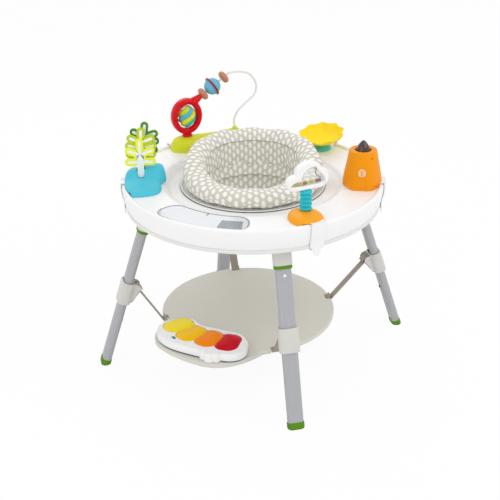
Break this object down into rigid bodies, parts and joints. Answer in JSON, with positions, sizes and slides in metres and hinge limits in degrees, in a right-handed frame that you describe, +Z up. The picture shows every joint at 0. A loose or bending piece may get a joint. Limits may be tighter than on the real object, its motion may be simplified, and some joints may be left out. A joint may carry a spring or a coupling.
{
  "type": "baby activity center",
  "caption": "Round baby activity table on splayed legs with a padded turning seat, toys clipped round the rim, and a strapped play platform with a piano",
  "frame": {"origin": "On the floor under the middle of the table, which is the axis that the seat turns on", "axes": "+Z up; the legs stand on the X and Y axes, and the piano lies between the -X and -Y legs"},
  "size_m": [0.9788, 0.9788, 0.7815],
  "materials": {
    "tray white": "moulded shell, satin gloss",
    "clear pane": "clear plastic window",
    "lower shell": "moulded lower shell, satin",
    "leg tube": "satin grey tube",
    "foot rubber": "soft green foot",
    "green plastic": "green end ring",
    "collar plastic": "warm light grey collar",
    "webbing": "woven taupe strap",
    "platform plastic": "fine grained warm grey",
    "white plastic": "white toy plastic",
    "switch teal": "small slide switch",
    "key yellow": "smooth key",
    "key amber": "smooth key",
    "key orange": "smooth key",
    "key red": "smooth key",
    "ring plastic": "grey seat ring",
    "printed fabric": "woven cloth printed with ivory drops",
    "lime plastic": "lime toy base",
    "red plastic": "glossy red loop",
    "striped spinner": "twisted stripes of yellow, lime, teal and blue",
    "white wire": "translucent white coated wire",
    "wood disc": "turned wooden bead",
    "striped ball": "blue bead with white stripes",
    "garnet plastic": "dark red rim",
    "bowl yellow": "yellow petal bowl",
    "bowl base teal": "teal base",
    "tower orange": "orange tower shell",
    "popup brown": "smoky dark dome",
    "button peach": "peach button",
    "cloud base orange": "orange dome",
    "bellows aqua": "ribbed flexible neck",
    "tree base blue": "light blue hill",
    "leaf lime": "soft lime leaf frame",
    "leaf olive": "yellow green leaf frame",
    "leaf green": "dark green leaf frame"
  },
  "bodies": {
    "frame": {"tray_top": "tray white", "window_pane": "clear pane", "tray_underside": "lower shell", "leg_tube_left": "leg tube", "foot_cap_left": "foot rubber", "leg_ring_left": "green plastic", "leg_tube_front": "leg tube", "foot_cap_front": "foot rubber", "leg_ring_front": "green plastic", "leg_tube_right": "leg tube", "foot_cap_right": "foot rubber", "leg_ring_right": "green plastic", "leg_tube_back": "leg tube", "foot_cap_back": "foot rubber", "leg_ring_back": "green plastic", "bead_base": "lime plastic", "spinner_loop": "red plastic", "bead_wire": "white wire", "bowl_base": "bowl base teal", "tower_body": "tower orange", "cloud_base": "cloud base orange", "tree_base": "tree base blue", "tree_trunk": "white plastic", "leaf_front": "leaf lime"},
    "seat": {"seat_ring": "ring plastic", "seat_bolster": "printed fabric", "seat_sling": "printed fabric"},
    "platform": {"platform_disc": "platform plastic", "piano_housing": "white plastic", "strap_left": "webbing", "strap_front": "webbing", "strap_right": "webbing", "strap_back": "webbing"},
    "collar_left": {"collar_left": "collar plastic"},
    "collar_front": {"collar_front": "collar plastic"},
    "collar_right": {"collar_right": "collar plastic"},
    "collar_back": {"collar_back": "collar plastic"},
    "key_yellow": {"piano_key_yellow": "key yellow"},
    "key_amber": {"piano_key_amber": "key amber"},
    "key_orange": {"piano_key_orange": "key orange"},
    "key_red": {"piano_key_red": "key red"},
    "switch": {"piano_switch": "switch teal"},
    "spinner": {"spinner_ball": "striped spinner"},
    "disc_lower": {"bead_disc_lower": "wood disc"},
    "ball": {"bead_ball": "striped ball", "bead_ring": "garnet plastic"},
    "disc_upper": {"bead_disc_upper": "wood disc"},
    "bowl_turning": {"bowl": "bowl yellow"},
    "cloud": {"cloud_frame": "white plastic", "cloud_pane": "clear pane", "cloud_bellows": "bellows aqua"},
    "popup": {"tower_popup": "popup brown"},
    "tower_button": {"tower_button": "button peach"},
    "leaf_middle": {"leaf_middle": "leaf olive"},
    "leaf_back": {"leaf_back": "leaf green"},
    "clip_beads": {"clip_beads": "white plastic"},
    "clip_bowl": {"clip_bowl": "white plastic"},
    "clip_tower": {"clip_tower": "white plastic"},
    "clip_cloud": {"clip_cloud": "white plastic"},
    "clip_tree": {"clip_tree": "white plastic"}
  },
  "joints": [
    {"name": "seat_turn", "type": "hinge", "parent": "frame", "child": "seat", "pos_m": [0, 0, 0.52], "axis": [0, 0, 1], "continuous": true},
    {"name": "platform_height", "type": "slide", "parent": "frame", "child": "platform", "axis": [0, 0, 1], "range_m": [-0.05, 0.05]},
    {"name": "collar_slide_left", "type": "slide", "parent": "platform", "child": "collar_left", "axis": [0.7965, 0, 0.6046], "range_m": [-0.0274, 0.0274], "deforming": ["strap_left"]},
    {"name": "collar_slide_front", "type": "slide", "parent": "platform", "child": "collar_front", "axis": [0, 0.7965, 0.6046], "range_m": [-0.0274, 0.0274], "deforming": ["strap_front"]},
    {"name": "collar_slide_right", "type": "slide", "parent": "platform", "child": "collar_right", "axis": [-0.7965, 0, 0.6046], "range_m": [-0.0274, 0.0274], "deforming": ["strap_right"]},
    {"name": "collar_slide_back", "type": "slide", "parent": "platform", "child": "collar_back", "axis": [0, -0.7965, 0.6046], "range_m": [-0.0274, 0.0274], "deforming": ["strap_back"]},
    {"name": "key_press_yellow", "type": "slide", "parent": "platform", "child": "key_yellow", "axis": [0, 0, 1], "range_m": [-0.003, 0], "stiffness_N_per_m": 300},
    {"name": "key_press_amber", "type": "slide", "parent": "platform", "child": "key_amber", "axis": [0, 0, 1], "range_m": [-0.003, 0], "stiffness_N_per_m": 300},
    {"name": "key_press_orange", "type": "slide", "parent": "platform", "child": "key_orange", "axis": [0, 0, 1], "range_m": [-0.003, 0], "stiffness_N_per_m": 300},
    {"name": "key_press_red", "type": "slide", "parent": "platform", "child": "key_red", "axis": [0, 0, 1], "range_m": [-0.003, 0], "stiffness_N_per_m": 300},
    {"name": "switch_slide", "type": "slide", "parent": "platform", "child": "switch", "axis": [0.515, -0.8572, 0], "range_m": [-0.0045, 0.0045]},
    {"name": "spinner_turn", "type": "hinge", "parent": "frame", "child": "spinner", "pos_m": [-0.13745, 0.29567, 0.6583], "axis": [0, 0, 1], "continuous": true},
    {"name": "disc_lower_spin", "type": "hinge", "parent": "frame", "child": "disc_lower", "pos_m": [-0.08039, 0.30968, 0.71985], "axis": [0.8324, 0.2045, 0.515], "continuous": true},
    {"name": "ball_spin", "type": "hinge", "parent": "frame", "child": "ball", "pos_m": [-0.04918, 0.31735, 0.73917], "axis": [0.8324, 0.2045, 0.515], "continuous": true},
    {"name": "disc_upper_spin", "type": "hinge", "parent": "frame", "child": "disc_upper", "pos_m": [-0.01089, 0.32675, 0.76286], "axis": [0.8324, 0.2045, 0.515], "continuous": true},
    {"name": "bowl_turn", "type": "hinge", "parent": "frame", "child": "bowl_turning", "pos_m": [0.26377, 0.18469, 0.58], "axis": [0, 0, 1], "continuous": true},
    {"name": "cloud_wobble", "type": "hinge", "parent": "frame", "child": "cloud", "pos_m": [0.07018, -0.304, 0.5791], "axis": [0.225, -0.9744, 0], "range_deg": [-20, 20], "stiffness_Nm_per_rad": 0.6, "deforming": ["cloud_bellows"]},
    {"name": "popup_press", "type": "slide", "parent": "frame", "child": "popup", "axis": [0, 0, 1], "range_m": [-0.026, 0], "stiffness_N_per_m": 80},
    {"name": "button_press", "type": "slide", "parent": "frame", "child": "tower_button", "axis": [-0.342, -0.9397, 0], "range_m": [-0.003, 0], "stiffness_N_per_m": 150},
    {"name": "leaf_swing_middle", "type": "hinge", "parent": "frame", "child": "leaf_middle", "pos_m": [-0.31887, 0.04481, 0.5823], "axis": [-0.1392, -0.9903, 0], "range_deg": [-12, 12]},
    {"name": "leaf_swing_back", "type": "hinge", "parent": "frame", "child": "leaf_back", "pos_m": [-0.31887, 0.04481, 0.5823], "axis": [-0.1392, -0.9903, 0], "range_deg": [-12, 12]},
    {"name": "clip_lift_beads", "type": "hinge", "parent": "frame", "child": "clip_beads", "pos_m": [-0.17907, 0.33678, 0.56007], "axis": [0.8829, 0.4695, 0], "range_deg": [0, 60]},
    {"name": "clip_lift_bowl", "type": "hinge", "parent": "frame", "child": "clip_bowl", "pos_m": [0.31245, 0.21878, 0.56007], "axis": [0.5736, -0.8192, 0], "range_deg": [0, 60]},
    {"name": "clip_lift_tower", "type": "hinge", "parent": "frame", "child": "clip_tower", "pos_m": [0.35365, -0.14289, 0.56007], "axis": [-0.3746, -0.9272, 0], "range_deg": [0, 60]},
    {"name": "clip_lift_cloud", "type": "hinge", "parent": "frame", "child": "clip_cloud", "pos_m": [0.0858, -0.37165, 0.56007], "axis": [-0.9744, -0.225, 0], "range_deg": [0, 60]},
    {"name": "clip_lift_tree", "type": "hinge", "parent": "frame", "child": "clip_tree", "pos_m": [-0.37771, 0.05308, 0.56007], "axis": [0.1392, 0.9903, 0], "range_deg": [0, 60]}
  ],
  "couplings": [
    {"joint": "collar_slide_left", "follows": "platform_height", "ratio": 0.54578},
    {"joint": "collar_slide_front", "follows": "platform_height", "ratio": 0.54578},
    {"joint": "collar_slide_right", "follows": "platform_height", "ratio": 0.54578},
    {"joint": "collar_slide_back", "follows": "platform_height", "ratio": 0.54578}
  ]
}
